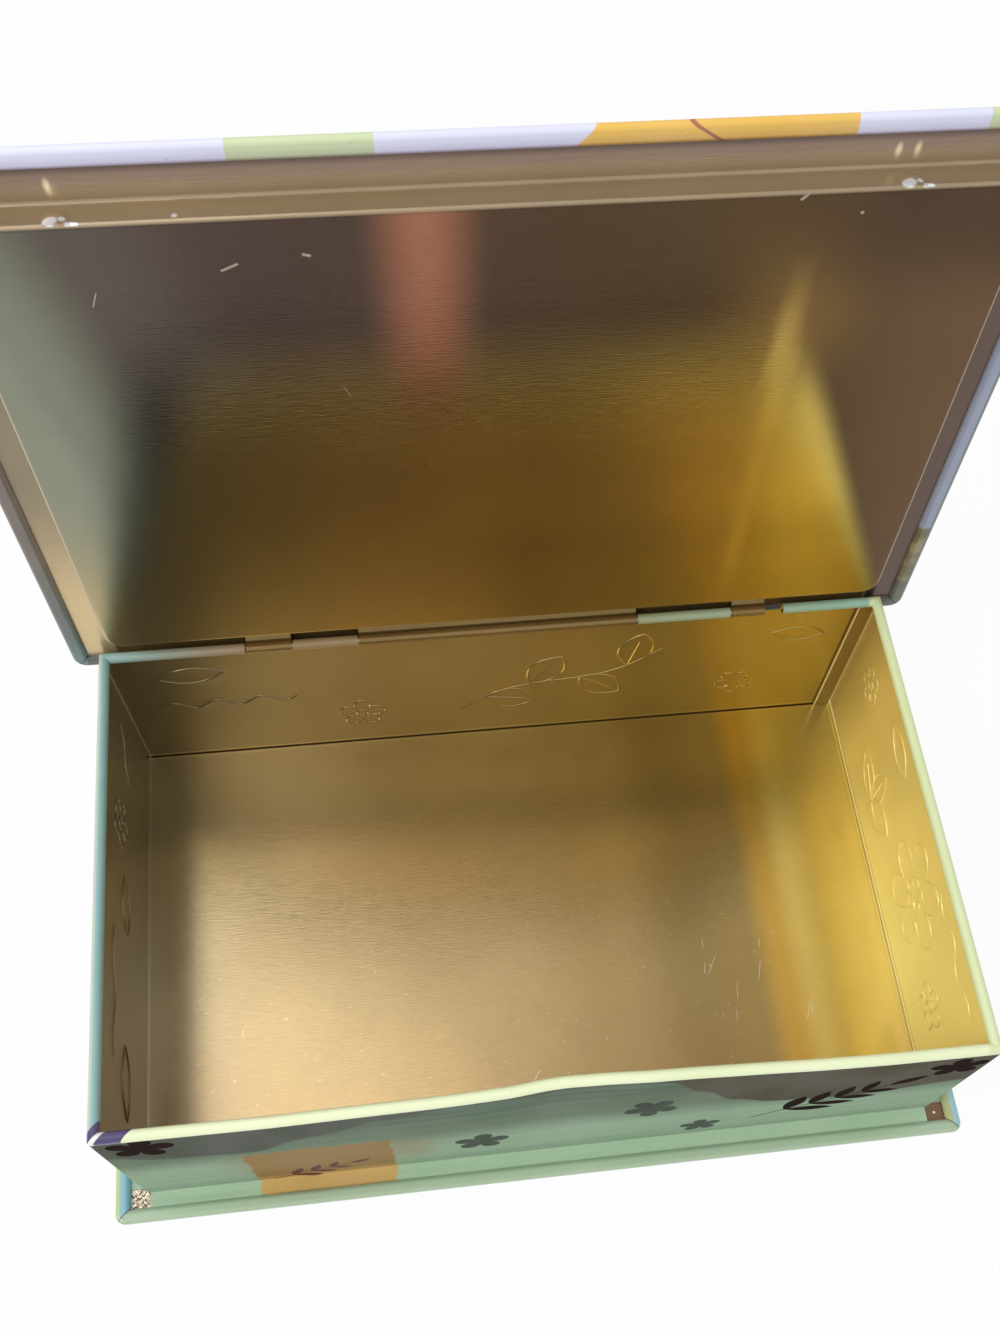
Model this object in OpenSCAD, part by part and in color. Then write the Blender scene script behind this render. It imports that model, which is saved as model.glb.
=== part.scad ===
// Hinged storage tin: a folded tinplate box between two overhanging covers.
// The origin is at the centre of the body's footprint, on the surface that
// the tin stands on. +X is to the right, -Y is the front and +Z is up.
// The lid is drawn open, resting against its stop.

/* [Body] */
// Outer width of the body, without the covers
body_w = 190; // [165:1:240]
// Outer depth of the body, without the covers
body_d = 117; // [90:1:160]
// Height from the floor to the top of the rim
body_h = 51; // [25:1:90]
// Thickness of the tinplate
sheet = 0.3; // [0.2:0.02:0.36]
// Diameter of the rolled rim
roll_d = 2.5; // [2.2:0.1:3]

/* [Covers] */
// Overhang of the base past the body at the front and the sides
base_overhang = 6.9; // [5:0.1:10]
// Overhang of the lid past the body at the front and the sides
lid_overhang = 6.5; // [5:0.1:10]
// Overhang of both covers past the back wall
back_overhang = 3.3; // [3:0.1:5]
// Corner radius of the lid in plan
lid_corner_r = 3; // [1.6:0.1:5]
// Corner radius of the base in plan
base_corner_r = 2.5; // [1.6:0.1:4]

/* [Hems] */
// Width of the lid's hem at the front and the sides
lid_hem_w = 3.6; // [3:0.1:4]
// Height of the lid's hem
lid_hem_h = 1.8; // [1.4:0.05:2]
// Width of the base's hem at the front and the sides
base_hem_w = 3.4; // [2.8:0.1:4]
// Height of the base's hem
base_hem_h = 2; // [1.4:0.05:2.1]
// Gap between the hems at the back and the back wall
back_hem_gap = 0.4; // [0.3:0.05:0.6]
// Length of body flange that is cut away at each corner
flange_relief = 1; // [0.5:0.1:4]

/* [Plug] */
// Depth of the lid's plug below its flange
plug_depth = 5.6; // [4:0.1:12]
// Gap between the plug and the rim at the sides
plug_side_gap = 1.5; // [0.8:0.1:3]
// Gap between the plug and the rim at the front
plug_front_gap = 0.7; // [0.7:0.05:3]
// Distance from the back wall's outside to the plug
plug_back_gap = 8.5; // [7.5:0.1:14]
// Corner radius of the plug in plan
plug_corner_r = 4; // [3:0.1:10]
// Outer radius of the plug's bends
plug_bend_r = 1; // [0.6:0.05:1.4]
// Diameter of the friction pips on the plug's front
pip_d = 4.4; // [3:0.1:5]
// Height of the friction pips
pip_h = 0.4; // [0.2:0.05:0.4]
// Height of the pips' middle over the plug's panel
pip_mid_h = 1.8; // [1.2:0.1:2.8]
// Distance of the left pip from the plug's left side
pip_left_inset = 19.5; // [7:0.5:30]
// Distance of the right pip from the plug's right side
pip_right_inset = 22.5; // [7:0.5:30]

/* [Hinge] */
// Angle between the open lid and its closed position
open_angle = 94; // [91:0.5:100]
// Gap left between the open lid's rear hem and the back wall
stop_gap = 0.03; // [0.02:0.01:0.1]
// Distance from the body's middle to the hinge's left end
hinge_left = 61; // [55:0.5:70]
// Width of the slot for the lid's left tab
left_slot_w = 11.4; // [8:0.2:16]
// Width of the body's left knuckle
left_knuckle_w = 15.2; // [8:0.2:24]
// Width of the slot for the lid's middle knuckle
middle_slot_w = 68; // [40:1:80]
// Width of the body's right knuckle
right_knuckle_w = 23; // [8:0.2:24]
// Width of the slot for the lid's right tab
right_slot_w = 13.2; // [11:0.2:18]
// Width of the lid's right tab
right_tab_w = 8.2; // [5:0.2:10]
// Play beside each knuckle
knuckle_play = 0.4; // [0.2:0.05:0.8]
// Radial clearance of the hinge wire in the knuckles
wire_clear = 0.05; // [0.02:0.01:0.09]

/* [Side seam] */
// Width of the lock seam inside the back wall, at its right end
seam_w = 4.5; // [2:0.1:8]

/* [Hidden] */
$fn = 64;

// Overrun of every cut past the face that it opens
over = 1;

roll_r = roll_d / 2;
bore_r = roll_r - sheet;
wire_r = bore_r - wire_clear;
floor_z = sheet;
rim_z = floor_z + body_h;
axis_y = body_d / 2 - roll_r;
axis_z = rim_z - roll_r;

// Where the curl of a rim stops short of the wall, as angles from outward
curl_end_a = 300;
curl_wall_a = 360;

// Footprint of the lid
lid_w = body_w + 2 * lid_overhang;
lid_d = body_d + lid_overhang + back_overhang;
lid_mid_y = (back_overhang - lid_overhang) / 2;
lid_back_y = body_d / 2 + back_overhang;

// The bend of the lid's back hem stops just short of the back wall when the
// lid is open, which sets how high the shut lid lies over the hinge
lid_bend_r = lid_hem_h / 2;
bend_reach = lid_back_y - lid_bend_r - axis_y;
bend_gap = roll_r + stop_gap + lid_bend_r;
bend_rise = (bend_gap - bend_reach * cos(open_angle)) / sin(open_angle);
lid_top_z = axis_z + bend_rise + lid_bend_r;
flange_z = lid_top_z - 2 * sheet;
back_hem_w = back_overhang - back_hem_gap;

plug_w = body_w - 2 * (roll_d + plug_side_gap);
plug_front_y = -body_d / 2 + roll_d + plug_front_gap;
plug_back_y = body_d / 2 - plug_back_gap;
plug_d = plug_back_y - plug_front_y;
plug_mid_y = (plug_front_y + plug_back_y) / 2;
plug_z = flange_z - plug_depth;

// The pips are domes that fade into the plug's lower bend
pip_low_z = plug_bend_r * (1 - cos(45));
pip_sphere_r = (pow(pip_d / 2, 2) + pow(pip_h, 2)) / (2 * pip_h);

// Ends of the hinge's slots and knuckles along X, from left to right
left_slot_x = -hinge_left;
left_knuckle_x = left_slot_x + left_slot_w;
middle_slot_x = left_knuckle_x + left_knuckle_w;
right_knuckle_x = middle_slot_x + middle_slot_w;
right_slot_x = right_knuckle_x + right_knuckle_w;
hinge_right_x = right_slot_x + right_slot_w;
slots = [
    [left_slot_x, left_slot_w],
    [middle_slot_x, middle_slot_w],
    [right_slot_x, right_slot_w]
];
// The lid's knuckles, each with play in its slot
knuckles = [
    [left_slot_x + knuckle_play, left_slot_w - 2 * knuckle_play],
    [middle_slot_x + knuckle_play, middle_slot_w - 2 * knuckle_play],
    [right_slot_x + knuckle_play, right_tab_w]
];
wire_left_x = knuckles[0][0];
wire_right_x = knuckles[2][0] + right_tab_w;

// The tab runs level off its knuckle and then ramps up to the flange
tab_level = 1.2 * roll_r;
tab_ramp = 1.6 * roll_r;

// Each side of the body: direction it faces, distance from the middle, length
sides = [
    [0, body_w / 2, body_d],
    [90, body_d / 2, body_w],
    [180, body_w / 2, body_d],
    [270, body_d / 2, body_w]
];

// Rectangle with round corners, centred
module round_rect(w, d, r) {
    square([w - 2 * r, d], center = true);
    square([w, d - 2 * r], center = true);
    for (x = [-1, 1], y = [-1, 1])
        translate([x * (w / 2 - r), y * (d / 2 - r)])
            circle(r = r);
}

// Section of a rolled edge, round its own centre
module curl() {
    reach = 2 * roll_r;
    difference() {
        circle(r = roll_r);
        circle(r = bore_r);
        polygon([
            [0, 0],
            [reach * cos(curl_end_a), reach * sin(curl_end_a)],
            [reach * cos(curl_wall_a), reach * sin(curl_end_a)],
            [reach * cos(curl_wall_a), reach * sin(curl_wall_a)]
        ]);
    }
}

// Sweeps a section round a rectangle with round corners; the section's own
// X runs outwards from the rectangle's edge
module swept(w, d, r) {
    for (i = [0:3]) {
        reach = (i % 2 == 0 ? w : d) / 2;
        length = i % 2 == 0 ? d : w;
        rotate([0, 0, 90 * i]) {
            translate([reach, 0, 0])
                rotate([90, 0, 0])
                    linear_extrude(height = length - 2 * r, center = true)
                        children();
            translate([reach - r, length / 2 - r, 0])
                rotate_extrude(angle = 90)
                    translate([r, 0])
                        children();
        }
    }
}

// Rolled rim along one side, mitred at both ends
module rim_side(side) {
    dist = side[1];
    half = side[2] / 2;
    depth = 2 * roll_d;
    rotate([0, 0, side[0]])
        intersection() {
            translate([dist - roll_r, 0, axis_z])
                rotate([90, 0, 0])
                    linear_extrude(height = side[2], center = true)
                        curl();
            translate([0, 0, rim_z - depth])
                linear_extrude(height = depth + over)
                    polygon([
                        [dist - depth, depth - half],
                        [dist + over, -half - over],
                        [dist + over, half + over],
                        [dist - depth, half - depth]
                    ]);
        }
}

// Flange at the foot of one side, turned outwards under the base's hem
module foot_flange(side, width) {
    length = side[2] - 2 * flange_relief;
    rotate([0, 0, side[0]])
        translate([side[1] - sheet, -length / 2, floor_z])
            cube([width + sheet, length, sheet]);
}

// Four walls in one folded sheet, with rim, foot flanges and lock seam
module body_shell() {
    flange_w = base_overhang - base_hem_h / 2;
    back_flange_w = back_overhang - base_hem_h / 2;
    seam_h = body_h - roll_d - sheet;
    cut_h = roll_d + knuckle_play;
    color("darkseagreen") {
        difference() {
            union() {
                difference() {
                    translate([-body_w / 2, -body_d / 2, floor_z])
                        cube([body_w, body_d, body_h - roll_r]);
                    translate([sheet - body_w / 2, sheet - body_d / 2, floor_z - over])
                        cube([body_w - 2 * sheet, body_d - 2 * sheet, body_h + 2 * over]);
                }
                for (side = sides)
                    rim_side(side);
            }
            for (slot = slots)
                translate([slot[0], body_d / 2 - roll_d - over, rim_z - cut_h])
                    cube([slot[1], roll_d + 2 * over, cut_h + over]);
        }
        for (side = sides)
            foot_flange(side, side[0] == 90 ? back_flange_w : flange_w);
        translate([body_w / 2 - sheet - seam_w, body_d / 2 - 3 * sheet, floor_z])
            cube([seam_w + sheet / 2, 2 * sheet + sheet / 2, seam_h]);
    }
}

// Half ring of sheet at a hem's bend, closed on the outside
module bend_section(r) {
    difference() {
        translate([-r, r])
            circle(r = r);
        translate([-r, r])
            circle(r = r - sheet);
        translate([-3 * r, -r])
            square([2 * r, 4 * r]);
    }
}

// Quarter ring of sheet that turns a hem's edge back down on the flange
module lip_section(r) {
    intersection() {
        difference() {
            translate([r, 0])
                circle(r = r);
            translate([r, 0])
                circle(r = r - sheet);
        }
        square([r, r]);
    }
}

// The hem's inner edge along one side of the opening that it leaves
module hem_lip(reach, length, r) {
    translate([reach, 0, 0])
        intersection() {
            rotate([90, 0, 0])
                linear_extrude(height = length + 2 * r, center = true)
                    lip_section(r);
            linear_extrude(height = r)
                polygon([
                    [0, -length / 2],
                    [r, -length / 2 - r],
                    [r, length / 2 + r],
                    [0, length / 2]
                ]);
        }
}

// Flat sheet with its four edges rolled back, lying with the hems above
module hemmed_sheet(overhang, corner_r, h, side_hem) {
    cover_w = body_w + 2 * overhang;
    cover_d = body_d + overhang + back_overhang;
    bend_r = h / 2;
    lip_r = h - 2 * sheet;
    flat_w = cover_w - 2 * bend_r;
    flat_d = cover_d - 2 * bend_r;
    inner_w = cover_w - 2 * side_hem;
    inner_d = cover_d - side_hem - back_hem_w;
    inner_y = (side_hem - back_hem_w) / 2;
    translate([0, (back_overhang - overhang) / 2, 0]) {
        linear_extrude(height = sheet)
            round_rect(flat_w, flat_d, corner_r - bend_r);
        translate([0, 0, h - sheet])
            linear_extrude(height = sheet)
                difference() {
                    round_rect(flat_w, flat_d, corner_r - bend_r);
                    translate([0, inner_y])
                        square([inner_w + 2 * lip_r, inner_d + 2 * lip_r], center = true);
                }
        swept(cover_w, cover_d, corner_r)
            bend_section(bend_r);
        translate([0, inner_y, 2 * sheet])
            for (i = [0:3])
                rotate([0, 0, 90 * i])
                    hem_lip(
                        (i % 2 == 0 ? inner_w : inner_d) / 2,
                        i % 2 == 0 ? inner_d : inner_w,
                        lip_r
                    );
    }
}

// Bottom sheet, hemmed up over the body's foot flanges
module base_cover() {
    color("mediumaquamarine")
        hemmed_sheet(base_overhang, base_corner_r, base_hem_h, base_hem_w);
}

// Turns what is drawn for the shut lid to the open position
module opened() {
    translate([0, axis_y, axis_z])
        rotate([-open_angle, 0, 0])
            translate([0, -axis_y, -axis_z])
                children();
}

// Top sheet, hemmed down round the plug's flange
module lid_cover() {
    color("khaki")
        opened()
            translate([0, 0, lid_top_z])
                mirror([0, 0, 1])
                    hemmed_sheet(lid_overhang, lid_corner_r, lid_hem_h, lid_hem_w);
}

// One of the lid's knuckles with the tab that carries it
module lid_knuckle(x, w) {
    low = roll_r + flange_z - rim_z;
    run = tab_level + tab_ramp;
    turn = sheet * tan(atan2(low + sheet - roll_r, tab_ramp) / 2);
    translate([x, axis_y, axis_z])
        rotate([90, 0, 90])
            linear_extrude(height = w) {
                difference() {
                    circle(r = roll_r);
                    circle(r = bore_r);
                }
                polygon([
                    [0, roll_r],
                    [-tab_level, roll_r],
                    [-run, low + sheet],
                    [-run - sheet, low + sheet],
                    [-run - sheet, low],
                    [-run - turn, low],
                    [-tab_level - turn, bore_r],
                    [0, bore_r]
                ]);
            }
}

// Section of the plug's wall with a bend into the panel below and another
// into the flange above
module plug_wall_section() {
    r = plug_bend_r;
    top = plug_depth + sheet;
    difference() {
        translate([-r, 0])
            square([r, r]);
        translate([-r, r])
            circle(r = r - sheet);
        corner_waste(r);
    }
    translate([-sheet, r])
        square([sheet, top - 2 * r]);
    translate([r - sheet, top - r])
        intersection() {
            difference() {
                circle(r = r);
                circle(r = r - sheet);
            }
            translate([-r, 0])
                square([r, r]);
        }
}

// What lies outside the round of the plug's lower bend
module corner_waste(r) {
    difference() {
        translate([-r, -over])
            square([r + over, r + over]);
        translate([-r, r])
            circle(r = r);
    }
}

// Inner pan of the lid: flange, plug, friction pips and hinge knuckles
module lid_plug() {
    inset = lid_bend_r;
    spread = plug_bend_r - sheet;
    tab_y = axis_y - tab_level - tab_ramp;
    tab_cut = lid_back_y - tab_y;
    pips_x = [pip_left_inset - plug_w / 2, plug_w / 2 - pip_right_inset];
    color("silver")
        opened() {
            translate([0, lid_mid_y, flange_z])
                linear_extrude(height = sheet)
                    difference() {
                        round_rect(lid_w - 2 * inset, lid_d - 2 * inset, lid_corner_r - inset);
                        translate([0, plug_mid_y - lid_mid_y])
                            round_rect(plug_w + 2 * spread, plug_d + 2 * spread, plug_corner_r + spread);
                        for (slot = slots)
                            translate([slot[0], tab_y - lid_mid_y])
                                square([slot[1], tab_cut + over]);
                    }
            translate([0, plug_mid_y, plug_z]) {
                linear_extrude(height = sheet)
                    round_rect(
                        plug_w - 2 * plug_bend_r,
                        plug_d - 2 * plug_bend_r,
                        plug_corner_r - plug_bend_r
                    );
                swept(plug_w, plug_d, plug_corner_r)
                    plug_wall_section();
            }
            for (x = pips_x)
                translate([x, plug_front_y, plug_z])
                    intersection() {
                        translate([0, pip_sphere_r - pip_h, pip_mid_h])
                            sphere(r = pip_sphere_r);
                        translate([-pip_d / 2, -pip_h, pip_low_z])
                            cube([pip_d, pip_h + sheet, pip_mid_h + pip_d / 2 - pip_low_z]);
                    }
            for (k = knuckles)
                lid_knuckle(k[0], k[1]);
        }
}

// Straight wire through the knuckles of the lid and the body
module hinge_wire() {
    color("dimgray")
        translate([wire_left_x, axis_y, axis_z])
            rotate([0, 90, 0])
                cylinder(r = wire_r, h = wire_right_x - wire_left_x);
}

body_shell();
base_cover();
lid_plug();
lid_cover();
hinge_wire();
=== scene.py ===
import math
import bmesh
from functools import partialmethod, reduce
import bpy
import numpy as np
from mathutils import Matrix, Vector


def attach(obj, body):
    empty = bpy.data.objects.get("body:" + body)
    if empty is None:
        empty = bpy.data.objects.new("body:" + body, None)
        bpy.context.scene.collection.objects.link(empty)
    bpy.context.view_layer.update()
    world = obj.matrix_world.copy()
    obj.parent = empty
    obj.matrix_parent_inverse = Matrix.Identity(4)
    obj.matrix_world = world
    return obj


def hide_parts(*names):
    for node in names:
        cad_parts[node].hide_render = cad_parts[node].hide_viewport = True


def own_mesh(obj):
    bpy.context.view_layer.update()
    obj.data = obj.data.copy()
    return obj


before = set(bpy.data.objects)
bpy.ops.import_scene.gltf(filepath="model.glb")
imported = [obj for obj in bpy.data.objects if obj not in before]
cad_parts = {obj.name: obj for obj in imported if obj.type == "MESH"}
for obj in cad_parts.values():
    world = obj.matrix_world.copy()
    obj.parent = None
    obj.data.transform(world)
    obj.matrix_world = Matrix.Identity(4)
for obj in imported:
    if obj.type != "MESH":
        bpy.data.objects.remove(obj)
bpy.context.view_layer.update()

# Sizes are in millimetres and become metres when a mesh is made
MM = 0.001

HALF_W = 95.0
HALF_D = 58.5
SHEET = 0.3
ROLL_R = 1.25
AXIS_Y = 57.25
AXIS_Z = 50.05
WALL_TOP = 48.4
FLOOR_TOP = 0.3
CORNER_R = 0.8
OPEN_ANGLE = 94.0
LID_TOP = 53.39
FLANGE = 5.9
REAR_FLANGE = 2.3
COVER_EDGE = 7.0
REAR_HEM = 2.9
RIB_WIDTH = 0.34
BUMP_HEIGHT = 0.2
SHARP_ANGLE = 38
FLOOR_REACH = 3.0

# Ends along X of the rim's knuckles on the back wall
KNUCKLES = ((-49.6, -34.4), (33.6, 56.6))
RIM_ENDS = (-61.0, 69.8)

# Each side's outward direction and the direction along it, anticlockwise
OUT = np.array([(1, 0), (0, 1), (-1, 0), (0, -1)], float)
ALONG = np.array([(0, 1), (-1, 0), (0, -1), (1, 0)], float)
RIGHT, BACK, LEFT, FRONT = range(4)

# The front rim's bend inwards: place along X and distance
DENT = (
    (-95, 1.1), (-86, 1.05), (-73, 0.95), (-59, 0.85), (-39, 1.1), (-26, 1.2), (-18, 1.4),
    (-10, 1.7), (-6, 2.1), (-2, 2.5), (2.5, 2.65), (7, 2.5), (11, 2.4), (19, 1.95),
    (30, 1.65), (36, 1.4), (44, 1.1), (55, 0.6), (70, 0.2), (95, 0),
)


def smooth(value, low, high):
    share = np.clip((value - low) / (high - low), 0, 1)
    return share * share * (3 - 2 * share)


def ring(x, z, radius, angles):
    return np.column_stack((x + radius * np.cos(angles), z + radius * np.sin(angles)))


def arc(u, z, radius, start, end, count):
    return ring(u, z, radius, np.radians(np.linspace(start, end, count)))


def dent_at(x):
    places = np.linspace(-100, 100, 801)
    depth = np.interp(places, *zip(*DENT))
    kernel = np.exp(-((np.arange(-16, 17) / 6.0) ** 2))
    depth = np.convolve(np.pad(depth, 16, mode="edge"), kernel / kernel.sum(), mode="valid")
    return np.interp(x, places, depth)


def dented(points):
    """Bends the front wall inwards, most at its rim."""
    x, y, z = points[..., 0], points[..., 1], points[..., 2]
    height = np.clip((z - 1.0) / 49.0, 0, 1) ** 1.4
    moved = points.copy()
    moved[..., 1] = y + dent_at(x) * height * smooth(-y, 30, 56)
    return moved


def opened(points):
    """Turns the shut lid to its place when open."""
    turn = math.radians(-OPEN_ANGLE)
    y, z = points[..., 1] - AXIS_Y, points[..., 2] - AXIS_Z
    moved = points.copy()
    moved[..., 1] = AXIS_Y + y * math.cos(turn) - z * math.sin(turn)
    moved[..., 2] = AXIS_Z + y * math.sin(turn) + z * math.cos(turn)
    return moved


class Path:
    """Stations round a rectangle, for sweeping a section along its edge."""

    def __init__(self, half_w, half_d, radius, middle=(0, 0)):
        self.halves = (half_w, half_d)
        self.radius = radius
        self.middle = np.array(middle, float)
        self.rows = []

    def straight(self, side, start, end, step=1.0):
        reach = self.halves[side % 2] - self.radius
        count = max(2, round(abs(end - start) / step) + 1)
        for place in np.linspace(start, end, count):
            spot = OUT[side] * reach + ALONG[side] * place
            self.rows.append((spot, OUT[side], OUT[side], side, (0, 0)))
        return self

    def whole(self, side, step=1.0, gap=0):
        half = self.halves[1 - side % 2] - self.radius - gap
        return self.straight(side, -half, half, step)

    def corner(self, side, start, end, count, gap=0):
        """Part of the corner at the far end of a side, from angle to angle."""
        reach = self.halves[side % 2] - self.radius
        half = self.halves[1 - side % 2] - self.radius
        spot = OUT[side] * reach + ALONG[side] * half
        mitre = OUT[side] + ALONG[side]
        back = -ALONG[side] if start < 45 else -OUT[side]
        for angle in np.radians(np.linspace(start, end, count)):
            out = OUT[side] * math.cos(angle) + ALONG[side] * math.sin(angle)
            self.rows.append((spot, out, mitre, None, back * gap))
        return self

    def sweep(self, profile):
        """Points of the swept section, as stations by points of the section."""
        spots, outs, mitres, sides, gaps = zip(*self.rows)
        radius = self.radius + profile[:, 0]
        spots = np.repeat(np.array(spots)[:, None, :], len(radius), axis=1)
        for row, side in enumerate(sides):
            if side is not None:
                axis = 1 - side % 2
                limit = self.halves[axis] - self.radius + np.minimum(radius, 0)
                spots[row, :, axis] = np.clip(spots[row, :, axis], -limit, limit)
        outs, mitres = np.array(outs)[:, None, :], np.array(mitres)[:, None, :]
        radius = radius[None, :, None]
        flat = spots + np.where(radius >= 0, outs, mitres) * radius
        flat = flat + np.array(gaps)[:, None, :] + self.middle
        z = np.broadcast_to(profile[:, 1], flat.shape[:2])
        return np.dstack((flat, z))

    def on(self, side):
        """Which stations lie on the straight part of a side."""
        return np.array([row[3] == side for row in self.rows])


def add_object(name, data):
    made = bpy.data.objects.new(name, data)
    bpy.context.scene.collection.objects.link(made)
    return made


class Skin:
    """Collects the surfaces of one piece and makes its mesh."""

    def __init__(self):
        self.verts = []
        self.faces = []
        self.looks = []
        self.count = 0

    def face(self, corners, look):
        self.faces.append(corners)
        self.looks.append(look)

    def grid(self, points, looks, round_rows=False, round_columns=False):
        """Quads over rows by columns of points; looks has one entry a column."""
        rows, columns = points.shape[:2]
        first = self.count
        self.verts.append(points.reshape(-1, 3))
        self.count += rows * columns
        for i in range(rows if round_rows else rows - 1):
            here, there = first + i * columns, first + (i + 1) % rows * columns
            for j in range(columns if round_columns else columns - 1):
                k = (j + 1) % columns
                self.face((here + j, there + j, there + k, here + k), looks[j])
        return first

    def sweep(self, points, looks, closed=False):
        """A closed section swept along a path, with its ends capped."""
        rows, columns = points.shape[:2]
        first = self.grid(points, looks, closed, True)
        if not closed:
            last = first + (rows - 1) * columns
            self.face(tuple(range(first, first + columns)), looks[-1])
            self.face(tuple(reversed(range(last, last + columns))), looks[-1])

    def make(self, name, materials, choose=None):
        mesh = bpy.data.meshes.new(name)
        verts = np.concatenate(self.verts) * MM
        mesh.from_pydata(verts.tolist(), [], self.faces)
        for material in materials:
            mesh.materials.append(material)
        mesh.polygons.foreach_set("material_index", self.looks)
        tidy(mesh)
        if choose:
            choose_looks(mesh, choose)
        mesh.set_sharp_from_angle(angle=math.radians(SHARP_ANGLE))
        return add_object(name, mesh)


def choose_looks(mesh, choose):
    """Lets a rule change the look of each face by its middle."""
    count = len(mesh.polygons)
    middles = np.empty(count * 3)
    looks = np.empty(count, dtype=np.int32)
    mesh.polygons.foreach_get("center", middles)
    mesh.polygons.foreach_get("material_index", looks)
    mesh.polygons.foreach_set("material_index", choose(middles.reshape(-1, 3) / MM, looks))


def tidy(mesh):
    """Welds points that lie on each other and turns the faces outwards."""
    made = bmesh.new()
    made.from_mesh(mesh)
    bmesh.ops.remove_doubles(made, verts=made.verts, dist=2e-7)
    bmesh.ops.dissolve_degenerate(made, edges=made.edges, dist=1e-7)
    bmesh.ops.recalc_face_normals(made, faces=made.faces)
    for face in made.faces:
        face.smooth = True
    made.to_mesh(mesh)
    made.free()


def flower_line(x, z, size, turn=0.0, petals=5):
    angles = np.linspace(0, 2 * math.pi, 24 * petals + 1)
    reach = size * (0.5 + 0.5 * np.abs(np.sin(petals / 2 * angles)) ** 0.7)
    return ring(x, z, reach, angles + turn)


def bloom(x, z, size, turn, heart):
    """The outline of a flower and the ring round its heart."""
    return [flower_line(x, z, size, turn), ring(x, z, heart, np.linspace(0, 2 * math.pi, 25))]


def leaf_lines(x, z, length, turn, width=0.32):
    along = np.linspace(0, 1, 15)[:, None]
    across = width * np.sin(math.pi * along) ** 0.8
    way = np.array((math.cos(turn), math.sin(turn))) * length
    side = np.array((-math.sin(turn), math.cos(turn))) * length
    middle = np.array((x, z)) + along * way
    vein = np.array((x, z)) + np.linspace(0, 0.75, 5)[:, None] * way
    return [middle + across * side, middle - across * side, vein]


def vine_lines(x, z, run, rise, swing, leaves, size):
    """A waving stem with leaves on alternate sides."""
    along = np.linspace(0, 1, 50)
    wave = swing * np.sin(2 * math.pi * along)
    length = math.hypot(run, rise)
    stem_x = x + run * along - wave * rise / length
    stem_z = z + rise * along + wave * run / length
    lines = [np.column_stack((stem_x, stem_z))]
    for k in range(leaves):
        i = int((k + 0.7) / (leaves + 0.4) * 48)
        heading = math.atan2(stem_z[i + 1] - stem_z[i], stem_x[i + 1] - stem_x[i])
        heading += 0.8 if k % 2 else -0.8
        lines += leaf_lines(stem_x[i], stem_z[i], size, heading)
    return lines


def raised(lines, x, z, height, width):
    """Height of embossed lines at points, falling off beside each line."""
    found = np.full(x.shape, 1e9)
    for line in lines:
        low, high = line.min(0) - 3 * width, line.max(0) + 3 * width
        near = (x > low[0]) & (x < high[0]) & (z > low[1]) & (z < high[1])
        if not near.any():
            continue
        spot = np.column_stack((x[near], z[near]))[:, None, :]
        start, step = line[:-1], np.diff(line, axis=0)
        length = np.maximum((step**2).sum(1), 1e-9)
        share = np.clip(((spot - start) * step).sum(2) / length, 0, 1)
        away = np.sqrt(((spot - start - share[..., None] * step) ** 2).sum(2)).min(1)
        found[near] = np.minimum(found[near], away)
    return height * np.exp(-((found / width) ** 2))


def wavy_line(x, z, run, rise, swing, bends):
    along = np.linspace(0, 1, 60)
    up = z + rise * along + swing * np.sin(2 * math.pi * bends * along)
    return np.column_stack((x + run * along, up))


def back_lines():
    lines = vine_lines(-10, 13, 52, 22, 3, 4, 14)
    lines += bloom(-36, 15, 6, 0.9, 1.4)
    lines += [wavy_line(-86, 25, 34, 1, 1.5, 3.0), flower_line(64, 16, 5, 0.3)]
    return lines + leaf_lines(-84, 38, 16, 0.1, 0.2)[:2] + leaf_lines(70, 38, 14, -0.1, 0.2)[:2]


def right_lines():
    lines = bloom(44, 32, 5, 0.2, 1.3)
    for turn in (0.35, 1.57, 2.79):
        lines += leaf_lines(20, 14, 13, turn, 0.27)
    lines += [flower_line(-12, 26, 14, 0.5, 6), flower_line(-12, 26, 4.5, 0.2)]
    lines += bloom(-38, 18, 6, 0.8, 1.5)
    return lines + [wavy_line(-48, 38, 30, 3, 1.5, 2.0)] + leaf_lines(14, 38, 14, 0.1, 0.22)[:2]


def left_lines():
    lines = bloom(24, 30, 6, 0.2, 1.5)
    lines += [wavy_line(38, 22, 12, 10, 1.2, 1.0), wavy_line(-34, 32, 30, 2, 0.9, 1.5)]
    return lines + leaf_lines(-2, 22, 14, 0.3, 0.25)[:2] + leaf_lines(-46, 20, 17, 0.2, 0.2)[:2]


def waves(x, z, seed):
    """The slight unevenness of a pressed sheet."""
    return 0.07 * (
        np.sin(x / 17 + seed) * np.sin(z / 13 + 2 * seed)
        + 0.6 * np.sin(x / 7.3 + z / 9.1 + 3 * seed)
        + 0.4 * np.cos(x / 29 - z / 5.7 + seed)
    )


def wall_push(side, along, up, lines):
    """How far a wall's sheet stands out from its flat place."""
    half = HALF_W if side in (BACK, FRONT) else HALF_D
    edge = smooth(up, 1.5, 8) * smooth(-up, -48, -42) * smooth(half - np.abs(along), 1, 8)
    lift = raised(lines, along, up, 0.12, 1.0)
    return waves(along, up, side) * edge - lift


def pressed(points, path, motifs):
    """Adds soft swellings and slight waves to a swept wall."""
    moved = points.copy()
    for side, lines in motifs.items():
        rows = path.on(side)
        part = moved[rows]
        along = part[..., :2] @ np.abs(ALONG[side])
        push = wall_push(side, along, part[..., 2], lines)
        moved[rows, :, :2] = part[..., :2] + push[..., None] * OUT[side]
    return moved


RIB_X = (-1, -0.75, -0.4, 0, 0.4, 0.75, 1, 0)
RIB_Y = (-0.1, 0.03, 0.17, 0.22, 0.17, 0.03, -0.1, -0.2)


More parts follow.
